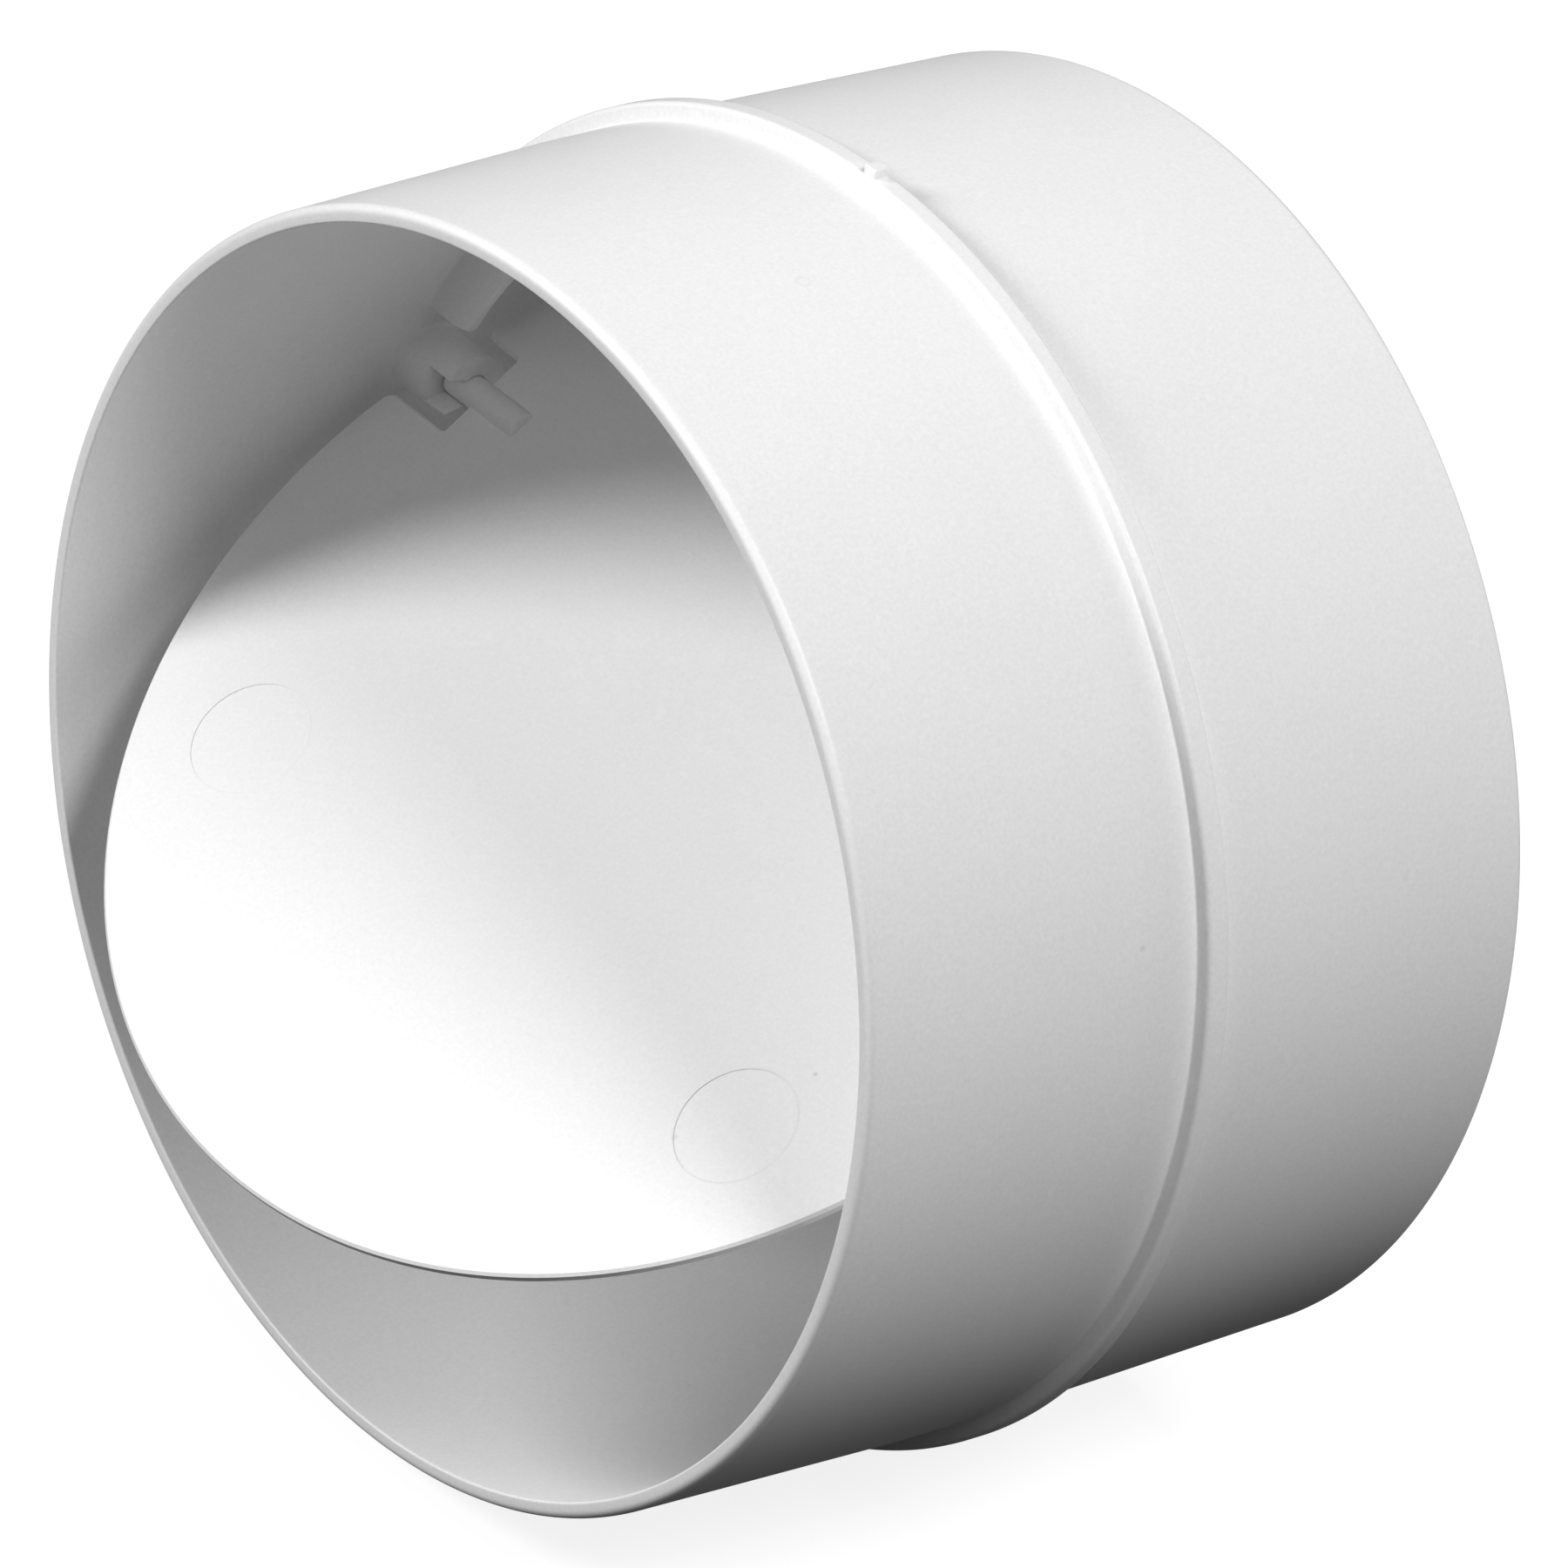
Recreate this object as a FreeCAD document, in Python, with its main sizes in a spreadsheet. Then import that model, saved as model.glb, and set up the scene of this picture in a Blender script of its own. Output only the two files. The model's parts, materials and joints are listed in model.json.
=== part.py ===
import FreeCAD, Part
import math
import os
import re

import Sketcher
from FreeCAD import Placement, Rotation, Vector

# Round duct connector with a swinging backdraft flap.
# The duct axis lies along Y, the flap opens out of the front mouth at -Y, and the hinge is above the axis.
# The origin is on the duct axis, in the collar's rear face, where the rear duct's end butts.

doc = FreeCAD.newDocument("duct_connector")

sizes = {
    # spigots
    "root_radius": 50.0,
    "end_radius": 49.4,
    "spigot_length": 30.0,
    "land_length": 6.0,
    "root_wall": 2.3,
    "end_wall": 1.35,
    "end_bevel": 0.55,
    "mouth_bevel": 0.2,
    # collar between the spigots, and the index nub on its crest
    "collar_height": 1.4,
    "collar_width": 1.9,
    "cove_radius": 0.15,
    "crest_bevel": 0.25,
    "nub_width": 1.3,
    "nub_length": 1.5,
    "nub_height": 0.75,
    # hinge, a little in front of the collar's middle
    "hinge_height": 12.27,
    "hinge_setback": 0.3,
    "knuckle_radius": 2.95,
    "pin_radius": 1.3,
    "pin_clearance": 0.05,
    "pin_grip": 2.2,
    "pin_end_play": 0.25,
    "snap_lip": 0.2,
    "slot_mouth": 3.1,
    # flap
    "flap_radius": 46.15,
    "flap_thickness": 0.9,
    "flap_edge_bevel": 0.2,
    "flap_rise": 0.15,
    "flap_open_angle": 52.3,
    "notch_reach": 38.7,
    "notch_clearance": 1.0,
    "notch_corner_round": 1.0,
    "knuckle_clearance": 1.1,
    "bar_anchor": 5.3,
    "ejector_radius": 4.9,
    "ejector_spread": 29.9,
    "ejector_drop": 19.6,
    "ejector_depth": 0.08,
    # ledge that the closed flap's upper part rests on
    "ledge_height": 4.2,
    "ledge_thickness": 1.3,
    "ledge_bevel_width": 0.9,
    "ledge_bevel_depth": 0.4,
    "ledge_seat_gap": 0.3,
    "ledge_knuckle_gap": 2.7,
}

sheet = doc.addObject("Spreadsheet::Sheet", "Sizes")
for row, (alias, value) in enumerate(sizes.items(), start=1):
    sheet.set(f"A{row}", alias)
    sheet.set(f"B{row}", str(value))
    sheet.setAlias(f"B{row}", alias)
doc.recompute()


def bound(formula):
    """The formula with every size's name pointed at the sheet."""
    return re.sub(r"[a-z_]+", lambda word: f"Sizes.{word[0]}" if word[0] in sizes else word[0], formula)


def value_of(formula):
    return float(sheet.evalExpression(bound(formula)))


def bind(feature, name, formula):
    feature.setExpression(name, bound(formula))


def origin_plane(body, role):
    return next(plane for plane in body.Origin.OriginFeatures if plane.Role == role)


def new_sketch(body, name, role, offset="0"):
    """An empty sketch on one of the body's own planes, moved along that plane's normal."""
    sketch = body.newObject("Sketcher::SketchObject", name)
    sketch.AttachmentSupport = [(origin_plane(body, role), "")]
    sketch.MapMode = "FlatFace"
    if offset != "0":
        bind(sketch, "AttachmentOffset.Base.z", offset)
    return sketch


def place_point(sketch, geometry, end, across, along):
    """Tie one end of a line or arc, or a centre, to its two distances from the sketch's origin."""
    for kind, formula in (("DistanceX", across), ("DistanceY", along)):
        if formula is None:
            continue
        if formula == "0":
            axis = -2 if kind == "DistanceX" else -1
            sketch.addConstraint(Sketcher.Constraint("PointOnObject", geometry, end, axis))
            continue
        constraint = Sketcher.Constraint(kind, -1, 1, geometry, end, value_of(formula))
        index = sketch.addConstraint(constraint)
        bind(sketch, f"Constraints[{index}]", formula)


def add_outline(sketch, corners):
    """A closed outline of straight lines through corners, each given by two formulas."""
    points = [Vector(value_of(across), value_of(along), 0) for across, along in corners]
    lines = []
    for start, end in zip(points, points[1:] + points[:1]):
        lines.append(sketch.addGeometry(Part.LineSegment(start, end), False))
    for line, after in zip(lines, lines[1:] + lines[:1]):
        sketch.addConstraint(Sketcher.Constraint("Coincident", line, 2, after, 1))
    for line, (across, along) in zip(lines, corners):
        place_point(sketch, line, 1, across, along)


def add_circle(sketch, across, along, radius):
    centre = Vector(value_of(across), value_of(along), 0)
    circle = sketch.addGeometry(Part.Circle(centre, Vector(0, 0, 1), value_of(radius)), False)
    place_point(sketch, circle, 3, across, along)
    index = sketch.addConstraint(Sketcher.Constraint("Radius", circle, value_of(radius)))
    bind(sketch, f"Constraints[{index}]", radius)


def revolve(body, name, sketch, axis, angle=None):
    """A full turn about the sketch's axis, or a part turn spread evenly to both sides."""
    turned = body.newObject("PartDesign::Revolution", name)
    turned.Profile = sketch
    turned.ReferenceAxis = (sketch, [axis])
    if angle:
        turned.Midplane = True
        bind(turned, "Angle", angle)
    doc.recompute()
    return turned


def pad(body, name, sketch, length, midplane=False, backward=False):
    padded = body.newObject("PartDesign::Pad", name)
    padded.Profile = sketch
    bind(padded, "Length", length)
    padded.Midplane = midplane
    padded.Reversed = backward
    doc.recompute()
    return padded


def pocket(body, name, sketch, length, midplane=False, backward=False):
    before = body.Shape.Volume
    cut = body.newObject("PartDesign::Pocket", name)
    cut.Profile = sketch
    bind(cut, "Length", length)
    cut.Midplane = midplane
    cut.Reversed = backward
    doc.recompute()
    if body.Shape.Volume >= before:
        raise RuntimeError(f"{name} cuts nothing")
    return cut


def dress_edges(body, kind, name, wanted, size):
    """Fillet or chamfer the edges of the body so far that the test picks out."""
    base = body.Tip
    names = [f"Edge{n}" for n, edge in enumerate(base.Shape.Edges, start=1) if wanted(edge)]
    if not names:
        raise RuntimeError(f"{name} finds no edge")
    dressed = body.newObject(f"PartDesign::{kind}", name)
    dressed.Base = (base, names)
    bind(dressed, "Radius" if kind == "Fillet" else "Size", size)
    doc.recompute()


def is_ring(edge, radius, along, axis):
    """Whether an edge is a circle of this radius about the axis, at this place along it."""
    circle = edge.Curve
    if not isinstance(circle, Part.Circle):
        return False
    return abs(circle.Radius - radius) < 1e-4 and abs(circle.Center.dot(axis) - along) < 1e-4


# Derived places that more than one piece uses.
collar_middle = "(-collar_width / 2)"
hinge_place = "(-collar_width / 2 - hinge_setback)"
flap_drop = "(hinge_height - flap_rise)"
front_end = "(-collar_width - spigot_length)"
bore_radius = "(root_radius - root_wall)"
mouth_radius = "(end_radius - end_wall)"
wall_middle = "(root_radius - root_wall / 2)"
crest_radius = "(root_radius + collar_height)"
knuckle_end = "(notch_reach + knuckle_clearance)"
pin_tip = "(notch_reach + knuckle_clearance + pin_grip)"
duct_axis = Vector(0, 1, 0)


def build_tube():
    """Two drafted spigots and the collar, turned about the duct axis."""
    body = doc.addObject("PartDesign::Body", "tube")
    section = new_sketch(body, "tube_section", "XY_Plane")
    add_outline(
        section,
        [
            ("end_radius", front_end),
            ("root_radius", "-collar_width - land_length"),
            ("root_radius", "-collar_width"),
            (crest_radius, "-collar_width"),
            (crest_radius, "0"),
            ("root_radius", "0"),
            ("root_radius", "land_length"),
            ("end_radius", "spigot_length"),
            (mouth_radius, "spigot_length"),
            (bore_radius, collar_middle),
            (mouth_radius, front_end),
        ],
    )
    revolve(body, "tube_turned", section, "V_Axis")

    ends = [value_of(front_end), value_of("spigot_length")]
    collar_front = value_of("-collar_width")
    root = value_of("root_radius")
    crest = value_of(crest_radius)
    rim = value_of("end_radius")
    mouth = value_of(mouth_radius)

    def at_ends(radius):
        return lambda edge: any(is_ring(edge, radius, end, duct_axis) for end in ends)

    def on_collar_front(radius):
        return lambda edge: is_ring(edge, radius, collar_front, duct_axis)

    dress_edges(body, "Chamfer", "spigot_rims", at_ends(rim), "end_bevel")
    dress_edges(body, "Chamfer", "spigot_mouths", at_ends(mouth), "mouth_bevel")
    dress_edges(body, "Fillet", "collar_cove", on_collar_front(root), "cove_radius")
    dress_edges(body, "Chamfer", "collar_crest", on_collar_front(crest), "crest_bevel")
    add_nub(body)
    return body


def build_ledge():
    """The stop ledge, a part ring just in front of the closed flap, cut level above the knuckles."""
    body = doc.addObject("PartDesign::Body", "ledge")
    seat = f"({hinge_place} - flap_thickness / 2 - ledge_seat_gap)"
    front = f"({seat} - ledge_thickness)"
    inner = f"({bore_radius} - ledge_height)"
    section = new_sketch(body, "ledge_section", "YZ_Plane")
    add_outline(
        section,
        [
            (seat, wall_middle),
            (seat, inner),
            (f"{front} + ledge_bevel_depth", inner),
            (front, f"{inner} + ledge_bevel_width"),
            (front, wall_middle),
        ],
    )
    revolve(body, "ledge_half_ring", section, "H_Axis", "180 deg")

    foot = "(hinge_height + knuckle_radius + ledge_knuckle_gap)"
    low = "-knuckle_radius"
    left, right = "-root_radius", "root_radius"
    below = new_sketch(body, "below_ledge", "XZ_Plane")
    add_outline(below, [(left, low), (right, low), (right, foot), (left, foot)])
    pocket(body, "level_ends", below, "2 * spigot_length", midplane=True)
    return body


def add_nub(body):
    """The index nub on the collar's crest, over the hinge."""
    base = new_sketch(body, "nub_base", "XY_Plane", "root_radius")
    left, right = "-nub_width / 2", "nub_width / 2"
    front = f"{collar_middle} - nub_length / 2"
    rear = f"{collar_middle} + nub_length / 2"
    add_outline(base, [(left, front), (right, front), (right, rear), (left, rear)])
    pad(body, "nub", base, "collar_height + nub_height")


def build_knuckle():
    """A round boss about the hinge axis, with a snap slot for the pin that opens to the front."""
    body = doc.addObject("PartDesign::Body", "knuckle")
    bind(body, "Placement.Base.y", hinge_place)
    bind(body, "Placement.Base.z", "hinge_height")
    boss = new_sketch(body, "knuckle_round", "YZ_Plane", knuckle_end)
    add_circle(boss, "0", "0", "knuckle_radius")
    pad(body, "knuckle_boss", boss, f"root_radius - {knuckle_end}")

    slot = new_sketch(body, "slot_outline", "YZ_Plane", knuckle_end)
    throat = value_of("pin_radius - snap_lip")
    seat = value_of("pin_radius + pin_clearance")
    half_turn = math.pi - math.asin(throat / seat)
    seat_circle = Part.Circle(Vector(0, 0, 0), Vector(0, 0, 1), seat)
    arc = slot.addGeometry(Part.ArcOfCircle(seat_circle, -half_turn, half_turn), False)
    throat_place = -math.sqrt(seat**2 - throat**2)
    outside = value_of("-knuckle_radius")
    mouth = value_of("slot_mouth / 2")
    upper = slot.addGeometry(
        Part.LineSegment(Vector(throat_place, throat, 0), Vector(outside, mouth, 0)), False
    )
    across = slot.addGeometry(
        Part.LineSegment(Vector(outside, mouth, 0), Vector(outside, -mouth, 0)), False
    )
    lower = slot.addGeometry(
        Part.LineSegment(Vector(outside, -mouth, 0), Vector(throat_place, -throat, 0)), False
    )
    slot.addConstraint(Sketcher.Constraint("Coincident", arc, 2, upper, 1))
    slot.addConstraint(Sketcher.Constraint("Coincident", upper, 2, across, 1))
    slot.addConstraint(Sketcher.Constraint("Coincident", across, 2, lower, 1))
    slot.addConstraint(Sketcher.Constraint("Coincident", lower, 2, arc, 1))
    place_point(slot, arc, 3, "0", "0")
    index = slot.addConstraint(Sketcher.Constraint("Radius", arc, seat))
    bind(slot, f"Constraints[{index}]", "pin_radius + pin_clearance")
    place_point(slot, arc, 2, None, "pin_radius - snap_lip")
    place_point(slot, arc, 1, None, "-(pin_radius - snap_lip)")
    place_point(slot, across, 1, "-knuckle_radius", "slot_mouth / 2")
    place_point(slot, across, 2, "-knuckle_radius", "-slot_mouth / 2")
    pocket(body, "knuckle_slot", slot, "pin_grip + pin_end_play", backward=True)
    return body


def build_connector_body():
    """The tube with its ledge and both knuckles, their roots ending halfway into its wall."""
    tube = build_tube()
    ledge = build_ledge()
    knuckle = build_knuckle()
    core = doc.addObject("Part::Cylinder", "wall_core")
    core.Placement = Placement(Vector(0, 0, 0), Rotation(Vector(1, 0, 0), -90))
    bind(core, "Radius", wall_middle)
    bind(core, "Height", f"spigot_length - {front_end}")
    bind(core, "Placement.Base.y", front_end)

    right = doc.addObject("Part::Common", "right_knuckle")
    right.Base = knuckle
    right.Tool = core
    left = doc.addObject("Part::Mirroring", "left_knuckle")
    left.Source = right
    left.Normal = Vector(1, 0, 0)

    whole = doc.addObject("Part::MultiFuse", "connector_body")
    whole.Shapes = [tube, ledge, right, left]
    whole.Refine = True
    whole.Label = "connector_body"
    doc.recompute()
    return whole


def build_flap():
    """A thin disc with a notch and a pin bar at each side, modelled shut about its hinge axis."""
    body = doc.addObject("PartDesign::Body", "flap")
    body.Label = "flap"
    face = new_sketch(body, "flap_round", "XZ_Plane")
    add_circle(face, "0", f"-{flap_drop}", "flap_radius")
    pad(body, "flap_disc", face, "flap_thickness", midplane=True)

    notches = new_sketch(body, "notch_outlines", "XZ_Plane")
    half = "(knuckle_radius + notch_clearance)"
    for side in "+-":
        inner = f"{side}notch_reach"
        outer = f"{side}(flap_radius + notch_clearance)"
        add_outline(notches, [(inner, f"-{half}"), (outer, f"-{half}"), (outer, half), (inner, half)])
    pocket(body, "side_notches", notches, "2 * flap_thickness", midplane=True)

    reach = value_of("notch_reach")
    radius = value_of("flap_radius")
    drop = value_of(flap_drop)

    def is_notch_corner(edge):
        straight = edge.Length - value_of("flap_thickness")
        middle = edge.CenterOfMass
        return abs(straight) < 1e-4 and abs(middle.y) < 1e-4 and abs(middle.x) > reach + 1e-3

    def is_rim(edge):
        on_disc = isinstance(edge.Curve, Part.Circle) and abs(edge.Curve.Radius - radius) < 1e-4
        return on_disc and abs(edge.Curve.Center.z + drop) < 1e-4

    dress_edges(body, "Fillet", "notch_corners", is_notch_corner, "notch_corner_round")
    dress_edges(body, "Chamfer", "flap_edge", is_rim, "flap_edge_bevel")

    for name, side, backward in (("right_pin", "", False), ("left_pin", "-", True)):
        start = f"{side}(notch_reach - bar_anchor)"
        outline = new_sketch(body, f"{name}_round", "YZ_Plane", start)
        add_circle(outline, "0", "0", "pin_radius")
        pad(body, name, outline, f"{pin_tip} - notch_reach + bar_anchor", backward=backward)

    marks = new_sketch(body, "ejector_rings", "XZ_Plane", "flap_thickness / 2 - ejector_depth")
    for side in "+-":
        add_circle(marks, f"{side}ejector_spread", f"-({flap_drop} + ejector_drop)", "ejector_radius")
    pocket(body, "ejector_marks", marks, "flap_thickness", backward=True)

    body.Placement = Placement(Vector(0, 0, 0), Rotation(Vector(-1, 0, 0), sizes["flap_open_angle"]))
    bind(body, "Placement.Rotation.Angle", "flap_open_angle")
    bind(body, "Placement.Base.y", hinge_place)
    bind(body, "Placement.Base.z", "hinge_height")
    doc.recompute()
    return body


pieces = [build_connector_body(), build_flap()]
doc.recompute()

for item in doc.Objects:
    if "Invalid" in item.State or "Error" in item.State:
        raise RuntimeError(f"{item.Name} did not build: {item.State}")
for piece in pieces:
    if piece.Shape.isNull() or not piece.Shape.isValid():
        raise RuntimeError(f"{piece.Label} has no valid shape")

os.makedirs("parts", exist_ok=True)
for piece in pieces:
    piece.Shape.exportStep(f"parts/{piece.Label}.step")
    box = piece.Shape.optimalBoundingBox(False, False)
    print(piece.Label, "solids", len(piece.Shape.Solids), "volume", round(piece.Shape.Volume, 1))
    print("  from", round(box.XMin, 2), round(box.YMin, 2), round(box.ZMin, 2))
    print("  to", round(box.XMax, 2), round(box.YMax, 2), round(box.ZMax, 2))
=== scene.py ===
import json
import math

import bmesh
import bpy
from mathutils import Matrix, Vector

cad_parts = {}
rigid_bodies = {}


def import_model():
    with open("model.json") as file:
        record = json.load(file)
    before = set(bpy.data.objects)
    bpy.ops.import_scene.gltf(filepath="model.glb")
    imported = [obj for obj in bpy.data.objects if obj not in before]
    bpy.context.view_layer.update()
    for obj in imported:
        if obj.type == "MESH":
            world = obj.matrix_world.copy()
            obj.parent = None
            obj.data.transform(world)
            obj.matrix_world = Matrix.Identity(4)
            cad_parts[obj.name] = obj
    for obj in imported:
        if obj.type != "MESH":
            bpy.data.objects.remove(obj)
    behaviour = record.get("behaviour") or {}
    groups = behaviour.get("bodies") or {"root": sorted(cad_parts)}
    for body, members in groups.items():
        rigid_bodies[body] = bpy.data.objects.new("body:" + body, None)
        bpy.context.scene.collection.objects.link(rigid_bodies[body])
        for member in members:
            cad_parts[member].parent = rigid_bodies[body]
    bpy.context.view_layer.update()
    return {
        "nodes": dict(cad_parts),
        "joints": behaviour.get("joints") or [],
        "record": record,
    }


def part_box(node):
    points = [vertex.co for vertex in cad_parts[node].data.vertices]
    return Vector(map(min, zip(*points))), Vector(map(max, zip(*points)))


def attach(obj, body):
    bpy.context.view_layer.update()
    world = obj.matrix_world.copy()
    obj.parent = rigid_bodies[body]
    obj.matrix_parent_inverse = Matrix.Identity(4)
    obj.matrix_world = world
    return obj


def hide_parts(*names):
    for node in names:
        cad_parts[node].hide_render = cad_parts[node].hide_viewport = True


mm = 0.001  # the dictionaries below hold millimetres and degrees
weldGap, sliverSize = 0.0001 * mm, 0.001 * mm

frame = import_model()
scene = bpy.context.scene
print("frame:", ", ".join(sorted(frame["nodes"])))

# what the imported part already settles
hinge = frame["joints"][0]
hingeY, hingeZ = (round(v / mm, 4) for v in hinge["pos_m"][1:])
openAngle = -hinge["range_deg"][0]  # the flap's rest, measured from shut
spigot = next(m["dims"] for m in frame["record"]["mounts"] if m["name"] == "rear_spigot")
rootRadius, landLength = spigot["r_mm"], spigot["length_mm"]
bodyLow, bodyHigh = (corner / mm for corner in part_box("connector_body"))
frontEnd, rearEnd = bodyLow.y, bodyHigh.y
crestRadius, nubTop = bodyHigh.x, bodyHigh.z


# small helpers for outlines and meshes
def arcPoints(centre, radius, start, end, step=6.0):
    count = max(2, math.ceil(abs(end - start) / step))
    angles = [math.radians(start + (end - start) * i / count) for i in range(count + 1)]
    return [(centre[0] + radius * math.cos(a), centre[1] + radius * math.sin(a)) for a in angles]


def roundedOutline(corners, steps=8, support=0.0):
    # corners are (across, along, round); support adds a point just outside each round, to keep flats flat
    outline = []
    for i, (x, y, radius) in enumerate(corners):
        here = Vector((x, y))
        if not radius:
            outline.append(here)
            continue
        before = Vector(corners[i - 1][:2]) - here
        after = Vector(corners[(i + 1) % len(corners)][:2]) - here
        a, b = before.normalized(), after.normalized()
        half = a.angle(b) / 2
        reach = radius / math.tan(half)
        centre = here + (a + b).normalized() * radius / math.sin(half)
        if support and before.length > 3 * (reach + support):
            outline.append(here + a * (reach + support))
        first, last = here + a * reach - centre, here + b * reach - centre
        outline += [centre + first.slerp(last, k / steps) * radius for k in range(steps + 1)]
        if support and after.length > 3 * (reach + support):
            outline.append(here + b * (reach + support))
    return outline


def meshObject(name, mesh):
    piece = bpy.data.objects.new(name, mesh)
    scene.collection.objects.link(piece)
    return piece


def solidObject(name, bm):
    # an object from a closed bmesh, its faces turned outward
    bmesh.ops.recalc_face_normals(bm, faces=bm.faces)
    mesh = bpy.data.meshes.new(name)
    bm.to_mesh(mesh)
    bm.free()
    return meshObject(name, mesh)


def weld(mesh, sliver=0.0):
    # doubled points joined, slivers up to the given size dissolved, faces turned outward
    bm = bmesh.new()
    bm.from_mesh(mesh)
    bmesh.ops.remove_doubles(bm, verts=bm.verts, dist=weldGap)
    if sliver:
        bmesh.ops.dissolve_degenerate(bm, edges=bm.edges, dist=sliver)
    bmesh.ops.recalc_face_normals(bm, faces=bm.faces)
    bm.to_mesh(mesh)
    bm.free()


def evaluatedMesh(piece):
    graph = bpy.context.evaluated_depsgraph_get()
    return bpy.data.meshes.new_from_object(piece.evaluated_get(graph), depsgraph=graph)


def settle(piece):
    # the modifiers' result becomes the object's plain mesh
    mesh = evaluatedMesh(piece)
    piece.modifiers.clear()
    piece.data = mesh
    return piece


def prism(name, outline, start, end):
    # a closed solid from an outline in (y, z), run along x
    bm = bmesh.new()
    rings = [[bm.verts.new((x * mm, p[0] * mm, p[1] * mm)) for p in outline] for x in (start, end)]
    bm.faces.new(rings[0])
    bm.faces.new(rings[1])
    count = len(outline)
    for i in range(count):
        j = (i + 1) % count
        bm.faces.new((rings[0][i], rings[0][j], rings[1][j], rings[1][i]))
    return solidObject(name, bm)


def combine(piece, operation, *tools):
    for tool in tools:
        cut = piece.modifiers.new(operation.lower(), "BOOLEAN")
        cut.operation = operation
        cut.solver = "EXACT"
        cut.object = tool
    settle(piece)
    for tool in tools:
        bpy.data.objects.remove(tool)
    return piece


def softenEdges(piece, width, segments=3, angle=40):
    bevel = piece.modifiers.new("soften", "BEVEL")
    bevel.width = width * mm
    bevel.segments = segments
    bevel.limit_method = "ANGLE"
    bevel.angle_limit = math.radians(angle)
    return settle(piece)


def finishMesh(piece, material, angle=32):
    # welded, facing out, smooth but for the true edges
    weld(piece.data, sliverSize)
    piece.data.materials.clear()
    piece.data.materials.append(material)
    for face in piece.data.polygons:
        face.material_index = 0
    piece.data.shade_smooth()
    piece.data.set_sharp_from_angle(angle=math.radians(angle))
    weigh = piece.modifiers.new("weigh", "WEIGHTED_NORMAL")  # large faces stay even beside a boss
    weigh.keep_sharp = True
    return settle(piece)


# shared finish: moulded plastic's faint cloudiness, uneven gloss and fine grain
noiseLook = {"cloudScale": 70.0, "cloudDetail": 4.0, "grainDetail": 2.0}


def mouldedGrainGroup():
    group = bpy.data.node_groups.new("mouldedGrain", "ShaderNodeTree")
    for name, kind, default in (
        ("Vector", "NodeSocketVector", None),
        ("Color", "NodeSocketColor", (0.8, 0.8, 0.8, 1)),
        ("Cloud", "NodeSocketFloat", 0.03),
        ("Grain", "NodeSocketFloat", 0.05),
        ("Roughness", "NodeSocketFloat", 0.4),
        ("Gloss Spread", "NodeSocketFloat", 0.08),
        ("Grain Size", "NodeSocketFloat", 3000.0),
    ):
        socket = group.interface.new_socket(name, in_out="INPUT", socket_type=kind)
        if default is not None:
            socket.default_value = default
    for name, kind in (
        ("Color", "NodeSocketColor"),
        ("Roughness", "NodeSocketFloat"),
        ("Height", "NodeSocketFloat"),
    ):
        group.interface.new_socket(name, in_out="OUTPUT", socket_type=kind)
    nodes, link = group.nodes, group.links.new
    given, out = nodes.new("NodeGroupInput"), nodes.new("NodeGroupOutput")

    cloud = nodes.new("ShaderNodeTexNoise")
    cloud.inputs["Scale"].default_value = noiseLook["cloudScale"]
    cloud.inputs["Detail"].default_value = noiseLook["cloudDetail"]
    grain = nodes.new("ShaderNodeTexNoise")
    grain.inputs["Detail"].default_value = noiseLook["grainDetail"]
    link(given.outputs["Vector"], cloud.inputs["Vector"])
    link(given.outputs["Vector"], grain.inputs["Vector"])
    link(given.outputs["Grain Size"], grain.inputs["Scale"])

    def centred(noise):
        # about -0.5 to 0.5
        level = nodes.new("ShaderNodeMath")
        level.operation = "SUBTRACT"
        level.inputs[1].default_value = 0.5
        link(noise.outputs["Fac"], level.inputs[0])
        return level.outputs[0]

    def addShare(level, share, start):
        added = nodes.new("ShaderNodeMath")
        added.operation = "MULTIPLY_ADD"
        link(level, added.inputs[0])
        link(given.outputs[share], added.inputs[1])
        if isinstance(start, float):
            added.inputs[2].default_value = start
        else:
            link(start, added.inputs[2])
        return added.outputs[0]

    shade = addShare(centred(grain), "Grain", addShare(centred(cloud), "Cloud", 1.0))
    tinted = nodes.new("ShaderNodeVectorMath")
    tinted.operation = "SCALE"
    link(given.outputs["Color"], tinted.inputs[0])
    link(shade, tinted.inputs["Scale"])
    link(tinted.outputs[0], out.inputs["Color"])
    link(addShare(centred(cloud), "Gloss Spread", given.outputs["Roughness"]), out.inputs["Roughness"])
    link(grain.outputs["Fac"], out.inputs["Height"])
    return group


# shared finish: a thin darker ring or speck about one place, broken up by noise
markLook = {"reach": 0.4, "patchScale": 220.0, "patchLow": 0.35, "patchHigh": 0.6}


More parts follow.
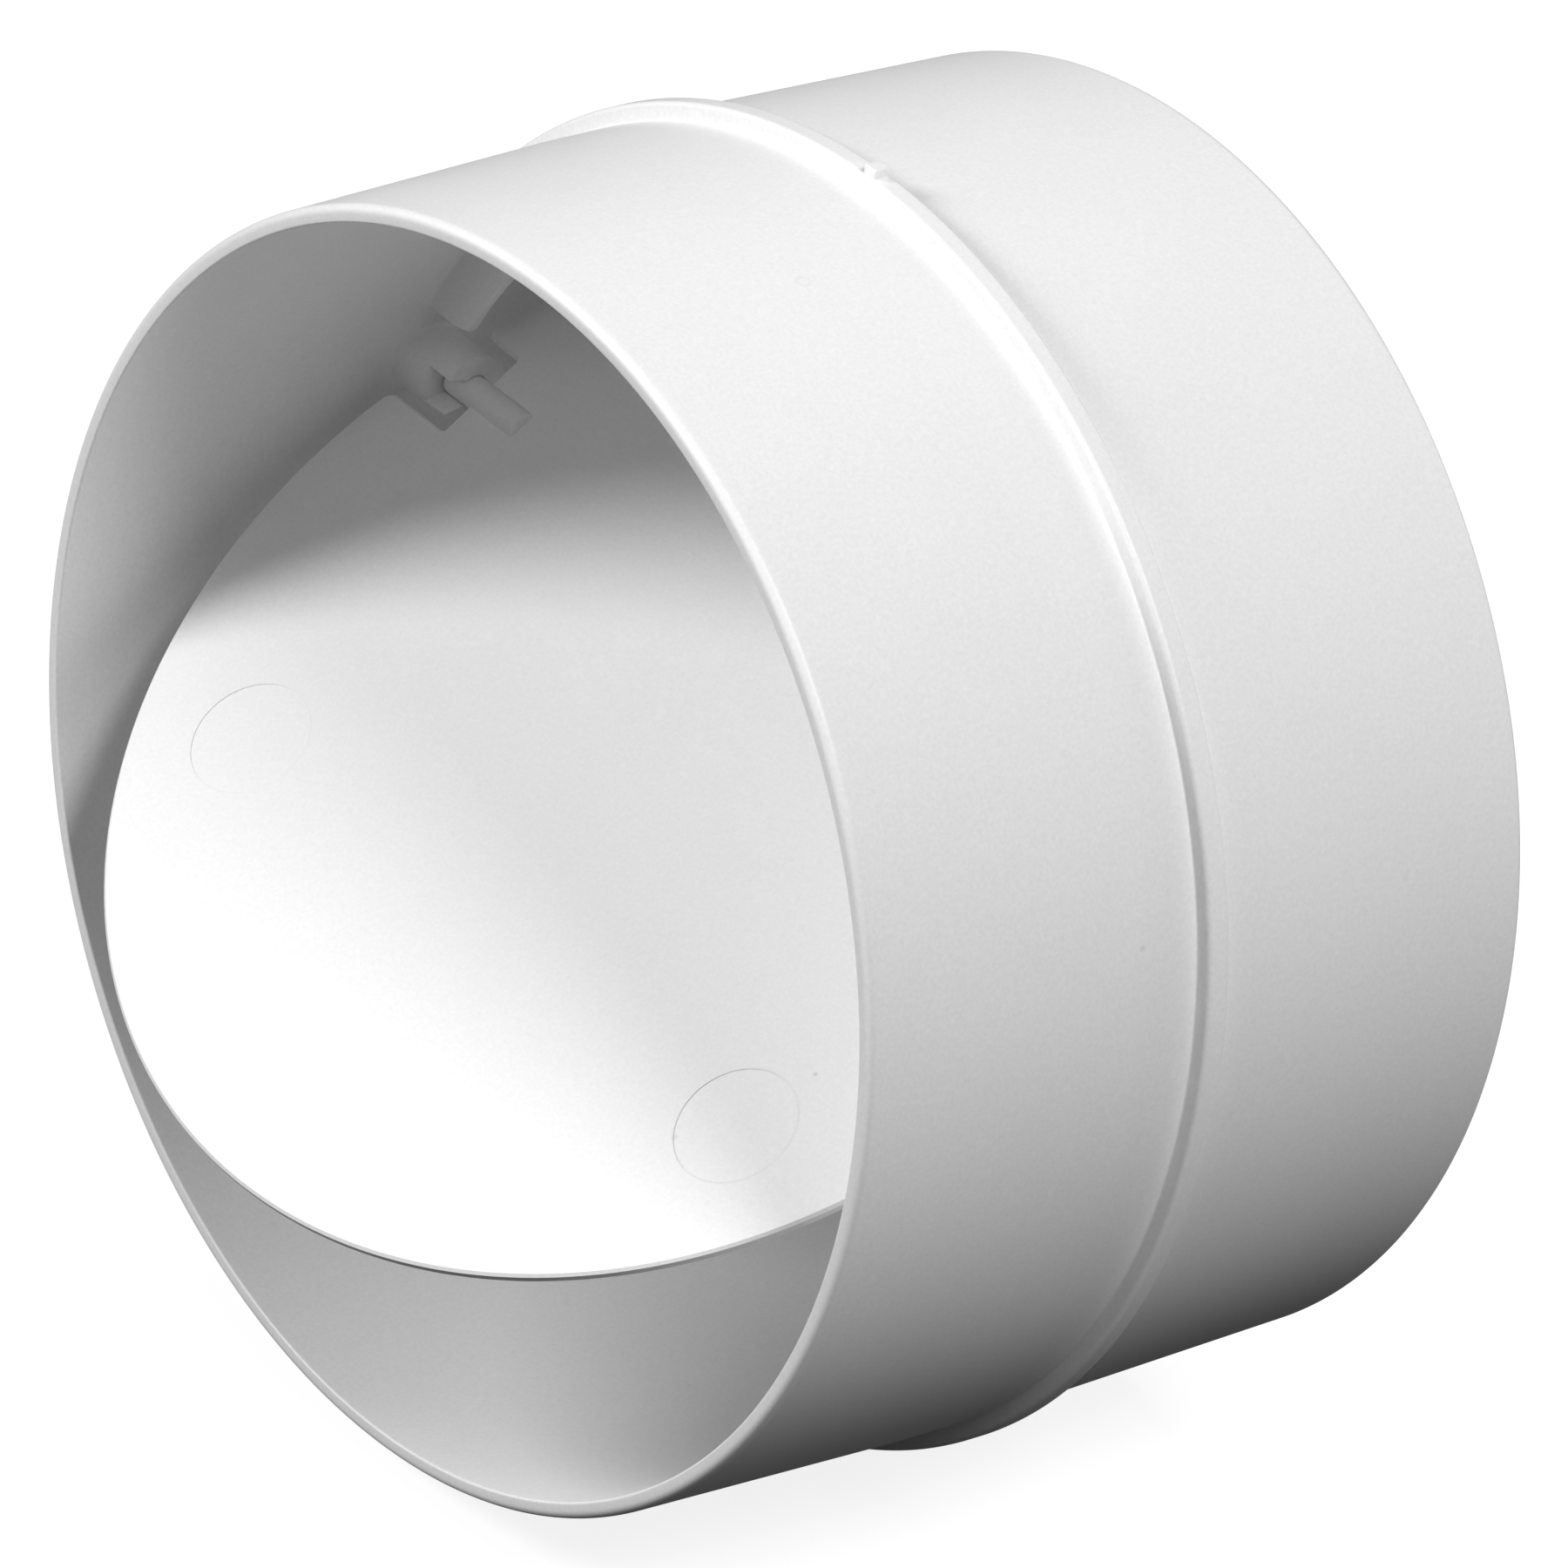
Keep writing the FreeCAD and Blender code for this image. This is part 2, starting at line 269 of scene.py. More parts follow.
def spotMarkGroup():
    group = bpy.data.node_groups.new("spotMark", "ShaderNodeTree")
    for name, kind in (
        ("Vector", "NodeSocketVector"),
        ("Color", "NodeSocketColor"),
        ("Place", "NodeSocketVector"),
        ("Facing", "NodeSocketVector"),
        ("Radius", "NodeSocketFloat"),
        ("Width", "NodeSocketFloat"),
        ("Strength", "NodeSocketFloat"),
        ("Kept", "NodeSocketFloat"),
    ):
        group.interface.new_socket(name, in_out="INPUT", socket_type=kind)
    group.interface.new_socket("Color", in_out="OUTPUT", socket_type="NodeSocketColor")
    nodes, link = group.nodes, group.links.new
    given, out = nodes.new("NodeGroupInput"), nodes.new("NodeGroupOutput")

    def figure(operation, first, second=None):
        node = nodes.new("ShaderNodeMath")
        node.operation = operation
        link(first, node.inputs[0])
        if second is not None:
            link(second, node.inputs[1])
        return node.outputs[0]

    def measure(operation, first, second=None):
        node = nodes.new("ShaderNodeVectorMath")
        node.operation = operation
        link(first, node.inputs[0])
        if second is not None:
            link(second, node.inputs[1])
        return node.outputs

    away = measure("SUBTRACT", given.outputs["Vector"], given.outputs["Place"])["Vector"]
    depth = measure("DOT_PRODUCT", away, given.outputs["Facing"])["Value"]
    front = nodes.new("ShaderNodeMath")  # leaves out the far face of a thin wall
    front.operation = "GREATER_THAN"
    front.inputs[1].default_value = -markLook["reach"] * mm
    link(depth, front.inputs[0])
    fromPlace = measure("LENGTH", away)["Value"]
    offLine = figure("ABSOLUTE", figure("SUBTRACT", fromPlace, given.outputs["Radius"]))
    band = nodes.new("ShaderNodeMapRange")
    band.interpolation_type = "SMOOTHSTEP"
    band.inputs["To Min"].default_value = 1.0
    band.inputs["To Max"].default_value = 0.0
    link(offLine, band.inputs["Value"])
    link(given.outputs["Width"], band.inputs["From Max"])
    patches = nodes.new("ShaderNodeTexNoise")
    patches.inputs["Scale"].default_value = markLook["patchScale"]
    link(given.outputs["Vector"], patches.inputs["Vector"])
    kept = nodes.new("ShaderNodeMapRange")
    kept.inputs["From Min"].default_value = markLook["patchLow"]
    kept.inputs["From Max"].default_value = markLook["patchHigh"]
    kept.inputs["To Max"].default_value = 1.0
    link(patches.outputs["Fac"], kept.inputs["Value"])
    link(given.outputs["Kept"], kept.inputs["To Min"])
    broken = figure("MULTIPLY", band.outputs["Result"], kept.outputs["Result"])
    shown = figure("MULTIPLY", broken, front.outputs[0])
    left = nodes.new("ShaderNodeMath")  # what the mark leaves of the colour
    left.operation = "SUBTRACT"
    left.inputs[0].default_value = 1.0
    link(figure("MULTIPLY", shown, given.outputs["Strength"]), left.inputs[1])
    marked = nodes.new("ShaderNodeVectorMath")
    marked.operation = "SCALE"
    link(given.outputs["Color"], marked.inputs[0])
    link(left.outputs[0], marked.inputs["Scale"])
    link(marked.outputs[0], out.inputs["Color"])
    return group


mouldedGrain = mouldedGrainGroup()
spotMark = spotMarkGroup()


def markAt(place, width, strength, radius=0.0, kept=1.0, facing=(0, 0, 0)):
    # a speck, or a ring where it has a radius; facing keeps it to one face of a thin wall
    return {
        "place": place,
        "width": width,
        "strength": strength,
        "radius": radius,
        "kept": kept,
        "facing": facing,
    }


def plasticMaterial(name, look):
    material = bpy.data.materials.new(name)
    material.use_nodes = True
    nodes, link = material.node_tree.nodes, material.node_tree.links.new
    shader = nodes["Principled BSDF"]
    shader.inputs["IOR"].default_value = look["ior"]
    shader.inputs["Specular IOR Level"].default_value = look["specular"]
    place = nodes.new("ShaderNodeTexCoord")
    grain = nodes.new("ShaderNodeGroup")
    grain.node_tree = mouldedGrain
    for socket, key in (
        ("Cloud", "cloud"),
        ("Grain", "grain"),
        ("Roughness", "roughness"),
        ("Gloss Spread", "glossSpread"),
    ):
        grain.inputs[socket].default_value = look[key]
    grain.inputs["Grain Size"].default_value = 1 / (look["grainSize"] * mm)
    grain.inputs["Color"].default_value = (*look["color"], 1)
    bump = nodes.new("ShaderNodeBump")
    bump.inputs["Strength"].default_value = look["bump"]
    bump.inputs["Distance"].default_value = look["grainDepth"] * mm
    link(place.outputs["Object"], grain.inputs["Vector"])
    color = grain.outputs["Color"]
    for mark in look["marks"]:
        spot = nodes.new("ShaderNodeGroup")
        spot.node_tree = spotMark
        spot.inputs["Place"].default_value = [v * mm for v in mark["place"]]
        spot.inputs["Facing"].default_value = mark["facing"]
        spot.inputs["Radius"].default_value = mark["radius"] * mm
        spot.inputs["Width"].default_value = mark["width"] * mm
        spot.inputs["Strength"].default_value = mark["strength"]
        spot.inputs["Kept"].default_value = mark["kept"]
        link(place.outputs["Object"], spot.inputs["Vector"])
        link(color, spot.inputs["Color"])
        color = spot.outputs["Color"]
    link(color, shader.inputs["Base Color"])
    link(grain.outputs["Roughness"], shader.inputs["Roughness"])
    link(grain.outputs["Height"], bump.inputs["Height"])
    link(bump.outputs["Normal"], shader.inputs["Normal"])
    return material


bodyPlastic = plasticMaterial("bodyPlastic", {
    "color": (0.88, 0.88, 0.88),
    "ior": 1.5,
    "specular": 0.5,
    "cloud": 0.03,
    "grain": 0.16,
    "roughness": 0.45,
    "glossSpread": 0.12,
    "grainSize": 0.3,
    "grainDepth": 0.02,
    "bump": 0.3,
    "marks": [
        markAt((48.04, -7.06, 13.66), 0.35, 0.2),
        markAt((7.8, -13.5, 49.3), 0.2, 0.06, radius=0.5, kept=0),
    ],
})
print("material: bodyPlastic")


# sweeps a section curve round the duct axis: a whole turn, or an arc about the top
def sweepTree(name, wholeTurn):
    tree = bpy.data.node_groups.new(name, "GeometryNodeTree")
    for label, way, kind in (
        ("Section", "INPUT", "NodeSocketGeometry"),
        ("Radius", "INPUT", "NodeSocketFloat"),
        ("Segments", "INPUT", "NodeSocketInt"),
        ("Turn", "INPUT", "NodeSocketFloat"),
        ("Material", "INPUT", "NodeSocketMaterial"),
        ("Swept", "OUTPUT", "NodeSocketGeometry"),
    ):
        tree.interface.new_socket(label, in_out=way, socket_type=kind)
    nodes, link = tree.nodes, tree.links.new
    given, out = nodes.new("NodeGroupInput"), nodes.new("NodeGroupOutput")
    if wholeTurn:
        path = nodes.new("GeometryNodeCurvePrimitiveCircle")
        link(given.outputs["Radius"], path.inputs["Radius"])
    else:
        path = nodes.new("GeometryNodeCurveArc")
        link(given.outputs["Radius"], path.inputs["Radius"])
        link(given.outputs["Turn"], path.inputs["Sweep Angle"])
        start = nodes.new("ShaderNodeMath")  # half the turn to each side of the top
        start.operation = "MULTIPLY_ADD"
        start.inputs[1].default_value = -0.5
        start.inputs[2].default_value = math.pi / 2
        link(given.outputs["Turn"], start.inputs[0])
        link(start.outputs[0], path.inputs["Start Angle"])
    link(given.outputs["Segments"], path.inputs["Resolution"])
    sweep = nodes.new("GeometryNodeCurveToMesh")
    sweep.inputs["Fill Caps"].default_value = not wholeTurn
    link(path.outputs["Curve"], sweep.inputs["Curve"])
    link(given.outputs["Section"], sweep.inputs["Profile Curve"])
    upright = nodes.new("GeometryNodeTransform")  # the path's axis from Z to the duct's Y
    upright.inputs["Rotation"].default_value = (math.pi / 2, 0, 0)
    link(sweep.outputs["Mesh"], upright.inputs["Geometry"])
    realized = nodes.new("GeometryNodeRealizeInstances")
    link(upright.outputs["Geometry"], realized.inputs["Geometry"])
    painted = nodes.new("GeometryNodeSetMaterial")
    link(realized.outputs["Geometry"], painted.inputs["Geometry"])
    link(given.outputs["Material"], painted.inputs["Material"])
    link(painted.outputs["Geometry"], out.inputs["Swept"])
    return tree


def sweepSection(name, tree, section, radius, segments, turn=360.0):
    # section points are (radius, along the duct); the sweep's own section counts from the path
    curve = bpy.data.curves.new(f"{name}Section", "CURVE")
    curve.dimensions = "3D"
    spline = curve.splines.new("POLY")
    spline.points.add(len(section) - 1)
    for point, (across, along) in zip(spline.points, section):
        point.co = ((across - radius) * mm, along * mm, 0, 1)
    spline.use_cyclic_u = True
    source = bpy.data.objects.new(f"{name}Section", curve)
    scene.collection.objects.link(source)
    sweep = source.modifiers.new("sweep", "NODES")
    sweep.node_group = tree
    values = {
        "Radius": radius * mm,
        "Segments": segments,
        "Turn": math.radians(turn),
        "Material": bodyPlastic,
    }
    for item in tree.interface.items_tree:
        if item.in_out == "INPUT" and item.name in values:
            sweep[item.identifier] = values[item.name]
    piece = meshObject(name, evaluatedMesh(source))
    bpy.data.objects.remove(source)
    weld(piece.data)
    return piece


# connector body: two drafted spigots and the collar
tube = {
    "segments": 480,
    "collarWidth": 1.9,
    "endRadius": 49.4,
    "rootWall": 2.3,
    "endWall": 1.35,
    "rimRound": 0.7,
    "mouthRound": 0.2,
    "coveRound": 0.15,
    "crestFrontRound": 0.4,
    "crestRearRound": 0.3,
    "rearFootRound": 0.12,
    "support": 0.25,
    "boreRows": (2, 4, 6.5, 10, 16),
}
collarWidth = tube["collarWidth"]
collarMiddle = -collarWidth / 2
boreRadius = rootRadius - tube["rootWall"]
mouthRadius = tube["endRadius"] - tube["endWall"]
wallMiddle = rootRadius - tube["rootWall"] / 2


def boreAt(y):
    # the drafted bore's radius at this place along the duct
    share = abs(y - collarMiddle) / (rearEnd - collarMiddle)
    return boreRadius + (mouthRadius - boreRadius) * share


def makeTube():
    end = tube["endRadius"]
    rear = [collarMiddle + row for row in reversed(tube["boreRows"])]  # short faces beside the knuckles
    front = [collarMiddle - row for row in tube["boreRows"]]
    section = roundedOutline([
        (end, frontEnd, tube["rimRound"]),
        (rootRadius, -collarWidth - landLength, 0),
        (rootRadius, -collarWidth, tube["coveRound"]),
        (crestRadius, -collarWidth, tube["crestFrontRound"]),
        (crestRadius, 0, tube["crestRearRound"]),
        (rootRadius, 0, tube["rearFootRound"]),
        (rootRadius, landLength, 0),
        (end, rearEnd, tube["rimRound"]),
        (mouthRadius, rearEnd, tube["mouthRound"]),
        *[(boreAt(y), y, 0) for y in rear + [collarMiddle] + front],
        (mouthRadius, frontEnd, tube["mouthRound"]),
    ], support=tube["support"])
    tree = sweepTree("wholeTurn", True)
    return sweepSection("connectorBody", tree, section, rootRadius, tube["segments"])


def wallAt(y, z):
    # where the bore stands, in x, at this place along the duct and this height
    return math.sqrt(boreAt(y) ** 2 - z**2)


# the stop ledge over the hinge, just in front of the shut flap, cut level above the knuckles
ledge = {
    "height": 4.2,
    "thickness": 1.3,
    "bevelWidth": 0.9,
    "bevelDepth": 0.4,
    "bevelRound": 2.6,
    "seatGap": 0.3,
    "knuckleGap": 2.7,
    "rootRound": 0.35,
    "rootSink": 0.01,
    "rootDepth": 0.04,
    "turn": 170,
    "segments": 180,
    "edgeRound": 0.15,
    "cutReach": 9,
}
flap = {
    "radius": 46.15,
    "thickness": 0.9,
    "rise": 0.15,
    "edgeBevel": 0.21,
    "notchReach": 38.7,
    "notchClearance": 1.0,
    "notchCornerRound": 1.0,
    "notchInnerRound": 0.25,
    "support": 0.3,
    "edgeStep": 0.6,
    "cornerStep": 15,
    "innerStep": 30,
}
knuckle = {
    "radius": 2.95,
    "clearance": 1.1,
    "slotDepth": 2.45,
    "seatRadius": 1.35,
    "throat": 1.1,
    "mouth": 1.55,
    "edgeRound": 0.15,
    "rootRound": 0.45,
    "rootDepth": 0.26,
    "rootSteps": 6,
    "slotFloor": 0.6,
    "slotLead": 1,
    "slotReach": 1.2,
    "turnStep": 3,
}


def makeLedge():
    seat = hingeY - flap["thickness"] / 2 - ledge["seatGap"]
    front = seat - ledge["thickness"]
    inner = boreRadius - ledge["height"]
    small = ledge["edgeRound"]
    wall, root = wallAt(front, 0), front - 2 * ledge["rootRound"]
    section = roundedOutline([
        (wallMiddle, seat, 0),
        (inner, seat, small),
        (inner, front + ledge["bevelDepth"], small),
        (inner + ledge["bevelWidth"], front, ledge["bevelRound"]),
        (wall + ledge["rootSink"], front, ledge["rootRound"]),
        (wall + ledge["rootDepth"], root, 0),
        (wallMiddle, root, 0),
    ], steps=5)
    tree = sweepTree("arcOverTop", False)
    ring = sweepSection("stopLedge", tree, section, wallMiddle, ledge["segments"], ledge["turn"])
    foot, reach = hingeZ + knuckle["radius"] + ledge["knuckleGap"], ledge["cutReach"]
    corners = [(-reach, -reach), (reach, -reach), (reach, foot), (-reach, foot)]
    below = prism("belowLedge", corners, -rootRadius, rootRadius)
    return combine(ring, "DIFFERENCE", below)


# hinge knuckles, each with a snap slot that opens to the front
def makeBoss(side):
    # a round boss that flares softly into the wall
    start = flap["notchReach"] + knuckle["clearance"]
    radius, flare, steps = knuckle["radius"], knuckle["rootRound"], knuckle["rootSteps"]
    bm = bmesh.new()
    rows = []
    for turn in range(0, 360, knuckle["turnStep"]):
        y, z = math.cos(math.radians(turn)), math.sin(math.radians(turn))
        profile = [(start, radius), (start + knuckle["slotDepth"] + knuckle["slotFloor"], radius)]
        for k in range(steps + 1):
            a = math.pi / 2 * k / steps
            out = radius + flare * (1 - math.cos(a))
            profile.append((wallAt(hingeY + out * y, hingeZ + out * z) - flare * (1 - math.sin(a)), out))
        profile.append((profile[-1][0] + knuckle["rootDepth"], profile[-1][1]))
        places = [Vector((x * side, hingeY + out * y, hingeZ + out * z)) for x, out in profile]
        rows.append([bm.verts.new(place * mm) for place in places])
    for row, after in zip(rows, rows[1:] + rows[:1]):
        for i in range(len(row) - 1):
            bm.faces.new((row[i], row[i + 1], after[i + 1], after[i]))
    bm.faces.new([row[0] for row in rows])
    bm.faces.new([row[-1] for row in rows])
    return solidObject("knuckle", bm)


def makeKnuckle(side):
    start = flap["notchReach"] + knuckle["clearance"]
    seatRadius, throat, mouth = knuckle["seatRadius"], knuckle["throat"], knuckle["mouth"]
    lip = math.degrees(math.asin(throat / seatRadius))
    slot = arcPoints((hingeY, hingeZ), seatRadius, -180 + lip, 180 - lip)
    # the cutter runs on past the boss, its sides spreading as they do within it
    reach = knuckle["slotReach"] * knuckle["radius"]
    narrow = math.sqrt(seatRadius**2 - throat**2)
    mouth = throat + (mouth - throat) * (reach - narrow) / (knuckle["radius"] - narrow)
    slot += [(hingeY - reach, hingeZ + mouth), (hingeY - reach, hingeZ - mouth)]
    slotStart, slotEnd = start - knuckle["slotLead"], start + knuckle["slotDepth"]
    tool = prism("slot", slot, slotStart * side, slotEnd * side)
    boss = combine(makeBoss(side), "DIFFERENCE", tool)
    return softenEdges(boss, knuckle["edgeRound"])


# index nub on the collar's crest
nub = {"width": 1.3, "length": 1.5, "edgeRound": 0.12}


def makeNub():
    half = nub["width"] / 2
    front, rear = collarMiddle - nub["length"] / 2, collarMiddle + nub["length"] / 2
    foot = (rootRadius + crestRadius) / 2
    block = prism("nub", [(front, foot), (rear, foot), (rear, nubTop), (front, nubTop)], -half, half)
    return softenEdges(block, nub["edgeRound"])


connectorBody = makeTube()
combine(connectorBody, "UNION", makeLedge(), makeKnuckle(1), makeKnuckle(-1), makeNub())
finishMesh(connectorBody, bodyPlastic)
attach(connectorBody, "connector")
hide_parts("connector_body")
print("connector body:", len(connectorBody.data.polygons), "faces")


# flap: a thin disc with a notch and a pin bar at each side, made shut about its hinge and then swung open
pinBar = {"radius": 1.3, "anchor": 5.3, "grip": 2.2, "edgeRound": 0.2}
ejectorMark = {"radius": 4.9, "spread": 29.9, "drop": 19.6, "depth": 0.05, "segments": 96}
flapDrop = hingeZ - flap["rise"]  # from the hinge down to the disc's centre
swing = Matrix.Rotation(math.radians(openAngle), 4, Vector(hinge["axis"]))
atRest = Matrix.Translation(Vector(hinge["pos_m"]) / mm) @ swing  # in millimetres


def onShutFace(across, drop):
    # a place on the shut flap's front face, about the hinge; drop counts from the disc's centre
    return Vector((across, -flap["thickness"] / 2, -flapDrop - drop))


def onOpenFace(across, drop):
    # the same place with the flap open as it rests
    return atRest @ onShutFace(across, drop)


flapFront = swing @ Vector((0, -1, 0))
ringSpread, ringDrop, ringRadius = (ejectorMark[key] for key in ("spread", "drop", "radius"))
flapPlastic = plasticMaterial("flapPlastic", {
    "color": (0.9, 0.9, 0.9),
    "ior": 1.5,
    "specular": 0.5,
    "cloud": 0.03,
    "grain": 0.13,
    "roughness": 0.5,
    "glossSpread": 0.1,
    "grainSize": 0.28,
    "grainDepth": 0.02,
    "bump": 0.25,
    "marks": [
        # the two rings: a thin darker line painted along the rim of each shallow ejector recess
        markAt(onOpenFace(ringSpread, ringDrop), 0.16, 0.1, ringRadius, 0.3, flapFront),
        markAt(onOpenFace(-ringSpread, ringDrop), 0.14, 0.06, ringRadius, 0.1, flapFront),
        markAt(onOpenFace(31.68, 12.95), 0.3, 0.25, facing=flapFront),
        markAt(onOpenFace(26.65, 23.06), 0.35, 0.15, facing=flapFront),
    ],
})
print("material: flapPlastic")


def flapOutline():
    # the right half from the bottom up, in (x, z) about the hinge; the left half mirrors it
    centre = (0.0, -flapDrop)
    radius, corner, inner = flap["radius"], flap["notchCornerRound"], flap["notchInnerRound"]
    half = knuckle["radius"] + flap["notchClearance"]
    reach = flap["notchReach"]

    def cornerRound(level, way):
        # the round between the disc's edge and a notch side, as its centre and its angle on the disc
        z = level + way * corner
        x = math.sqrt((radius - corner) ** 2 - (z + flapDrop) ** 2)
        return (x, z), math.degrees(math.atan2(z + flapDrop, x))

    lower, lowerAngle = cornerRound(-half, -1)
    upper, upperAngle = cornerRound(half, 1)
    edgeStep, cornerStep, innerStep = (flap[key] for key in ("edgeStep", "cornerStep", "innerStep"))
    right = arcPoints(centre, radius, -90, lowerAngle, edgeStep)
    right += arcPoints(lower, corner, lowerAngle, 90, cornerStep)[1:]
    right += arcPoints((reach + inner, -half + inner), inner, 270, 180, innerStep)
    right += arcPoints((reach + inner, half - inner), inner, 180, 90, innerStep)
    right += arcPoints(upper, corner, -90, upperAngle, cornerStep)
    right += arcPoints(centre, radius, upperAngle, 90, edgeStep)[1:]
    left = [(-x, z) for x, z in reversed(right)]
    return right + left[1:-1]


def insetOutline(outline, distance):
    # each point moved inwards along the mean of its two sides' normals
    moved = []
    for i, (x, z) in enumerate(outline):
        here = Vector((x, z))
        into = (here - Vector(outline[i - 1])).normalized()
        away = (Vector(outline[(i + 1) % len(outline)]) - here).normalized()
        a, b = Vector((-into.y, into.x)), Vector((-away.y, away.x))
        moved.append(here + (a + b) * distance / (1 + a.dot(b)))
    return moved


def makeFlapDisc():
    outline = flapOutline()
    half, edge = flap["thickness"] / 2, flap["edgeBevel"]
    rows = [(-half, edge + flap["support"]), (-half, edge), (-half + edge, 0)]
    rows += [(-y, inset) for y, inset in reversed(rows)]
    bm = bmesh.new()
    rings = []
    for y, inset in rows:
        points = insetOutline(outline, inset) if inset else outline
        rings.append([bm.verts.new((p[0] * mm, y * mm, p[1] * mm)) for p in points])
    for ring, after in zip(rings, rings[1:]):
        for i in range(len(ring)):
            j = (i + 1) % len(ring)
            bm.faces.new((ring[i], ring[j], after[j], after[i]))
    bm.faces.new(rings[0])
    bm.faces.new(rings[-1])
    return solidObject("flapDisc", bm)


def makePinBar(side):
    start = flap["notchReach"] - pinBar["anchor"]
    end = flap["notchReach"] + knuckle["clearance"] + pinBar["grip"]
    bar = prism("pinBar", arcPoints((0, 0), pinBar["radius"], 0, 354, 6), start * side, end * side)
    return softenEdges(bar, pinBar["edgeRound"])


def makeEjectorCut(side):
    # a shallow round cut into the front face
    radius, depth = ejectorMark["radius"] * mm, 2 * ejectorMark["depth"] * mm
    bm = bmesh.new()
    bmesh.ops.create_cone(
        bm, cap_ends=True, segments=ejectorMark["segments"], radius1=radius, radius2=radius, depth=depth
    )
    place = onShutFace(side * ejectorMark["spread"], ejectorMark["drop"]) * mm
    bm.transform(Matrix.Translation(place) @ Matrix.Rotation(math.pi / 2, 4, "X"))
    return solidObject("ejectorCut", bm)


flapDisc = makeFlapDisc()
combine(flapDisc, "UNION", makePinBar(1), makePinBar(-1))
combine(flapDisc, "DIFFERENCE", makeEjectorCut(1), makeEjectorCut(-1))
flapDisc.data.transform(Matrix.Translation(Vector(hinge["pos_m"])) @ swing)
finishMesh(flapDisc, flapPlastic)
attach(flapDisc, "flap")
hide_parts("flap")
print("flap:", len(flapDisc.data.polygons), "faces")


# floor: pale to the eye with the part's soft shadow, dim to bounced light
floorLook = {"size": 12.0, "glow": 0.86, "pale": 0.3, "dim": 0.03}
glossShare = 0.08  # how much of the white room a reflection shows


def lightPathMask(nodes, link):
    # 1 for rays straight from the eye or through glass, less for a reflection of the room
    path = nodes.new("ShaderNodeLightPath")
    total = path.outputs["Is Camera Ray"]
    for name, share in (("Is Glossy Ray", glossShare), ("Is Transmission Ray", 1.0)):
        part, either = nodes.new("ShaderNodeMath"), nodes.new("ShaderNodeMath")
        part.operation = "MULTIPLY"
        part.inputs[1].default_value = share
        link(path.outputs[name], part.inputs[0])
        either.operation = "MAXIMUM"
        link(total, either.inputs[0])
        link(part.outputs[0], either.inputs[1])
        total = either.outputs[0]
    return total


def makeFloor():
    half = floorLook["size"] / 2
    mesh = bpy.data.meshes.new("floor")
    corners = [(-half, -half, 0), (half, -half, 0), (half, half, 0), (-half, half, 0)]
    mesh.from_pydata(corners, [], [(0, 1, 2, 3)])
    mesh.transform(Matrix.Translation((0, 0, bodyLow.z * mm)))
    floor = meshObject("floor", mesh)
    material = bpy.data.materials.new("paleFloor")
    material.use_nodes = True
    nodes, link = material.node_tree.nodes, material.node_tree.links.new
    nodes.remove(nodes["Principled BSDF"])
    glow = nodes.new("ShaderNodeEmission")
    pale, dim = nodes.new("ShaderNodeBsdfDiffuse"), nodes.new("ShaderNodeBsdfDiffuse")
    glow.inputs["Strength"].default_value = floorLook["glow"]
    pale.inputs["Color"].default_value = (*[floorLook["pale"]] * 3, 1)
    dim.inputs["Color"].default_value = (*[floorLook["dim"]] * 3, 1)
    seen, mix = nodes.new("ShaderNodeAddShader"), nodes.new("ShaderNodeMixShader")
    link(glow.outputs[0], seen.inputs[0])
    link(pale.outputs[0], seen.inputs[1])
    link(lightPathMask(nodes, link), mix.inputs["Fac"])
    link(dim.outputs[0], mix.inputs[1])
    link(seen.outputs[0], mix.inputs[2])
    link(mix.outputs[0], nodes["Material Output"].inputs["Surface"])
    mesh.materials.append(material)


makeFloor()


# world: white to the eye, a low even fill to the part
worldFill = 0.09


